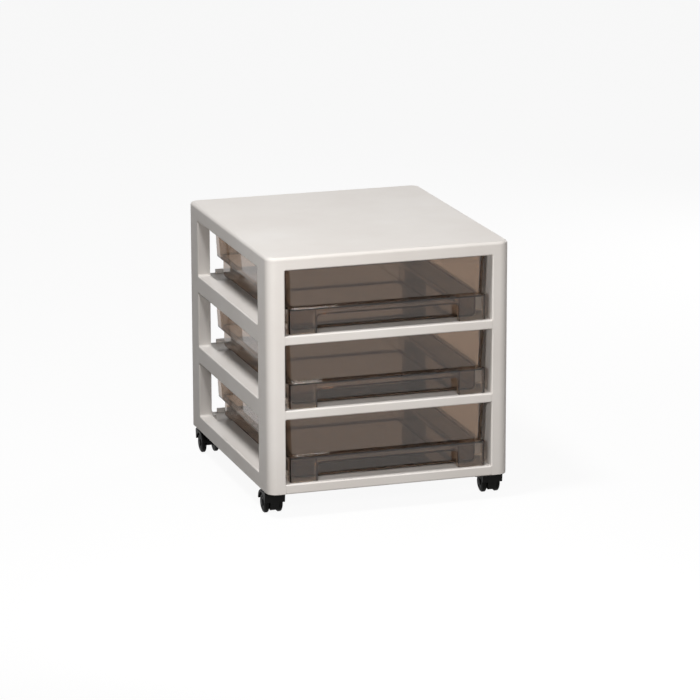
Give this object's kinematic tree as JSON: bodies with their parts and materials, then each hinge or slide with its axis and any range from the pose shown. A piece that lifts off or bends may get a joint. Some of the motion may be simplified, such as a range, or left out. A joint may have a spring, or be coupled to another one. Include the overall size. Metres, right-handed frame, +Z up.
{
  "type": "rolling drawer organizer",
  "caption": "Desk-side organizer on casters: a rounded plastic frame with side windows and stacked clear pull-out drawers, each with a finger notch.",
  "frame": {"origin": "on the floor, under the middle of the frame", "axes": "+X to the right, -Y towards the front that the drawers open to, +Z up"},
  "size_m": [0.38, 0.43, 0.4],
  "materials": {
    "white_plastic": "satin gloss, warm white",
    "smoke_clear": "clear smoke-brown polystyrene",
    "dark_plastic": "black nylon",
    "dark_nylon": "black nylon, worn smooth",
    "steel": "bright steel"
  },
  "bodies": {
    "frame": {"top_panel": "white_plastic", "left_side_frame": "white_plastic", "right_side_frame": "white_plastic", "upper_shelf": "white_plastic", "middle_shelf": "white_plastic", "base_panel": "white_plastic", "front_left_caster_socket": "dark_plastic", "front_right_caster_socket": "dark_plastic", "rear_left_caster_socket": "dark_plastic", "rear_right_caster_socket": "dark_plastic"},
    "lower_drawer": {"lower_drawer": "smoke_clear"},
    "middle_drawer": {"middle_drawer": "smoke_clear"},
    "upper_drawer": {"upper_drawer": "smoke_clear"},
    "front_left_caster": {"front_left_caster_stem": "steel", "front_left_caster_hood": "dark_plastic", "front_left_caster_axle": "steel"},
    "front_left_caster_left_wheel": {"front_left_caster_left_wheel": "dark_nylon"},
    "front_left_caster_right_wheel": {"front_left_caster_right_wheel": "dark_nylon"},
    "front_right_caster": {"front_right_caster_stem": "steel", "front_right_caster_hood": "dark_plastic", "front_right_caster_axle": "steel"},
    "front_right_caster_left_wheel": {"front_right_caster_left_wheel": "dark_nylon"},
    "front_right_caster_right_wheel": {"front_right_caster_right_wheel": "dark_nylon"},
    "rear_left_caster": {"rear_left_caster_stem": "steel", "rear_left_caster_hood": "dark_plastic", "rear_left_caster_axle": "steel"},
    "rear_left_caster_left_wheel": {"rear_left_caster_left_wheel": "dark_nylon"},
    "rear_left_caster_right_wheel": {"rear_left_caster_right_wheel": "dark_nylon"},
    "rear_right_caster": {"rear_right_caster_stem": "steel", "rear_right_caster_hood": "dark_plastic", "rear_right_caster_axle": "steel"},
    "rear_right_caster_left_wheel": {"rear_right_caster_left_wheel": "dark_nylon"},
    "rear_right_caster_right_wheel": {"rear_right_caster_right_wheel": "dark_nylon"}
  },
  "joints": [
    {"name": "lower_drawer_slide", "type": "slide", "parent": "frame", "child": "lower_drawer", "axis": [0, -1, 0], "range_m": [0, 0.3]},
    {"name": "middle_drawer_slide", "type": "slide", "parent": "frame", "child": "middle_drawer", "axis": [0, -1, 0], "range_m": [0, 0.3]},
    {"name": "upper_drawer_slide", "type": "slide", "parent": "frame", "child": "upper_drawer", "axis": [0, -1, 0], "range_m": [0, 0.3]},
    {"name": "front_left_caster_swivel", "type": "hinge", "parent": "frame", "child": "front_left_caster", "pos_m": [-0.1732, -0.183, 0.0353], "axis": [0, 0, 1], "continuous": true},
    {"name": "front_left_caster_left_wheel_spin", "type": "hinge", "parent": "front_left_caster", "child": "front_left_caster_left_wheel", "pos_m": [-0.18485, -0.173, 0.0155], "axis": [1, 0, 0], "continuous": true},
    {"name": "front_left_caster_right_wheel_spin", "type": "hinge", "parent": "front_left_caster", "child": "front_left_caster_right_wheel", "pos_m": [-0.16155, -0.173, 0.0155], "axis": [1, 0, 0], "continuous": true},
    {"name": "front_right_caster_swivel", "type": "hinge", "parent": "frame", "child": "front_right_caster", "pos_m": [0.1732, -0.183, 0.0353], "axis": [0, 0, 1], "continuous": true},
    {"name": "front_right_caster_left_wheel_spin", "type": "hinge", "parent": "front_right_caster", "child": "front_right_caster_left_wheel", "pos_m": [0.16155, -0.173, 0.0155], "axis": [1, 0, 0], "continuous": true},
    {"name": "front_right_caster_right_wheel_spin", "type": "hinge", "parent": "front_right_caster", "child": "front_right_caster_right_wheel", "pos_m": [0.18485, -0.173, 0.0155], "axis": [1, 0, 0], "continuous": true},
    {"name": "rear_left_caster_swivel", "type": "hinge", "parent": "frame", "child": "rear_left_caster", "pos_m": [-0.1732, 0.183, 0.0353], "axis": [0, 0, 1], "continuous": true},
    {"name": "rear_left_caster_left_wheel_spin", "type": "hinge", "parent": "rear_left_caster", "child": "rear_left_caster_left_wheel", "pos_m": [-0.18485, 0.173, 0.0155], "axis": [1, 0, 0], "continuous": true},
    {"name": "rear_left_caster_right_wheel_spin", "type": "hinge", "parent": "rear_left_caster", "child": "rear_left_caster_right_wheel", "pos_m": [-0.16155, 0.173, 0.0155], "axis": [1, 0, 0], "continuous": true},
    {"name": "rear_right_caster_swivel", "type": "hinge", "parent": "frame", "child": "rear_right_caster", "pos_m": [0.1732, 0.183, 0.0353], "axis": [0, 0, 1], "continuous": true},
    {"name": "rear_right_caster_left_wheel_spin", "type": "hinge", "parent": "rear_right_caster", "child": "rear_right_caster_left_wheel", "pos_m": [0.16155, 0.173, 0.0155], "axis": [1, 0, 0], "continuous": true},
    {"name": "rear_right_caster_right_wheel_spin", "type": "hinge", "parent": "rear_right_caster", "child": "rear_right_caster_right_wheel", "pos_m": [0.18485, 0.173, 0.0155], "axis": [1, 0, 0], "continuous": true}
  ]
}
